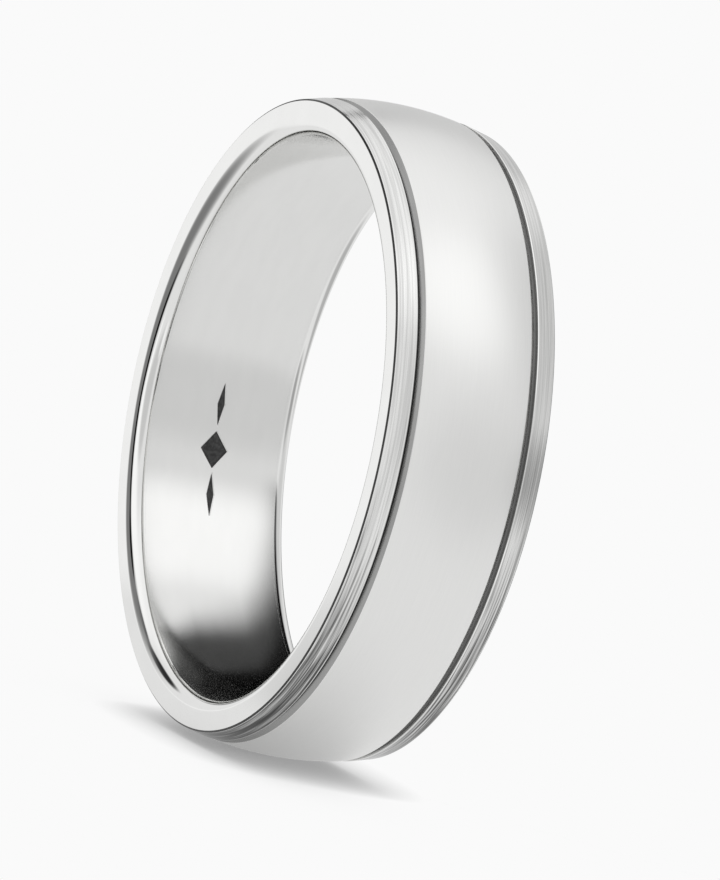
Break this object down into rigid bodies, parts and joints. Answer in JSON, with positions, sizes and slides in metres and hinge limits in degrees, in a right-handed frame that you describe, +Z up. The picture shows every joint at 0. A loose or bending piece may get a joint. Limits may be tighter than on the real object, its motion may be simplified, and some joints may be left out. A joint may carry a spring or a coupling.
{
  "type": "wedding band",
  "caption": "Wedding band: a comfort-fit sleeve carries a domed satin centre between stepped, polished edge rings, worn on a finger through its bore.",
  "frame": {"origin": "centre of the finger hole, on the ring's axis at the middle of its width", "axes": "+Y along the ring's axis, from the front edge ring to the back one; +Z up, so the band stands on its edge; +X to the right seen from the front"},
  "size_m": [0.0228, 0.006, 0.0228],
  "materials": {
    "polished_bore": "mirror polished white precious metal, with a laser-engraved ornament",
    "satin_dome": "satin white precious metal, brushed round the ring",
    "polished_edge": "polished white precious metal, with fine turning lines round the rail"
  },
  "bodies": {
    "root": {"comfort_sleeve": "polished_bore", "centre_band": "satin_dome", "front_edge_ring": "polished_edge", "back_edge_ring": "polished_edge"}
  },
  "joints": []
}
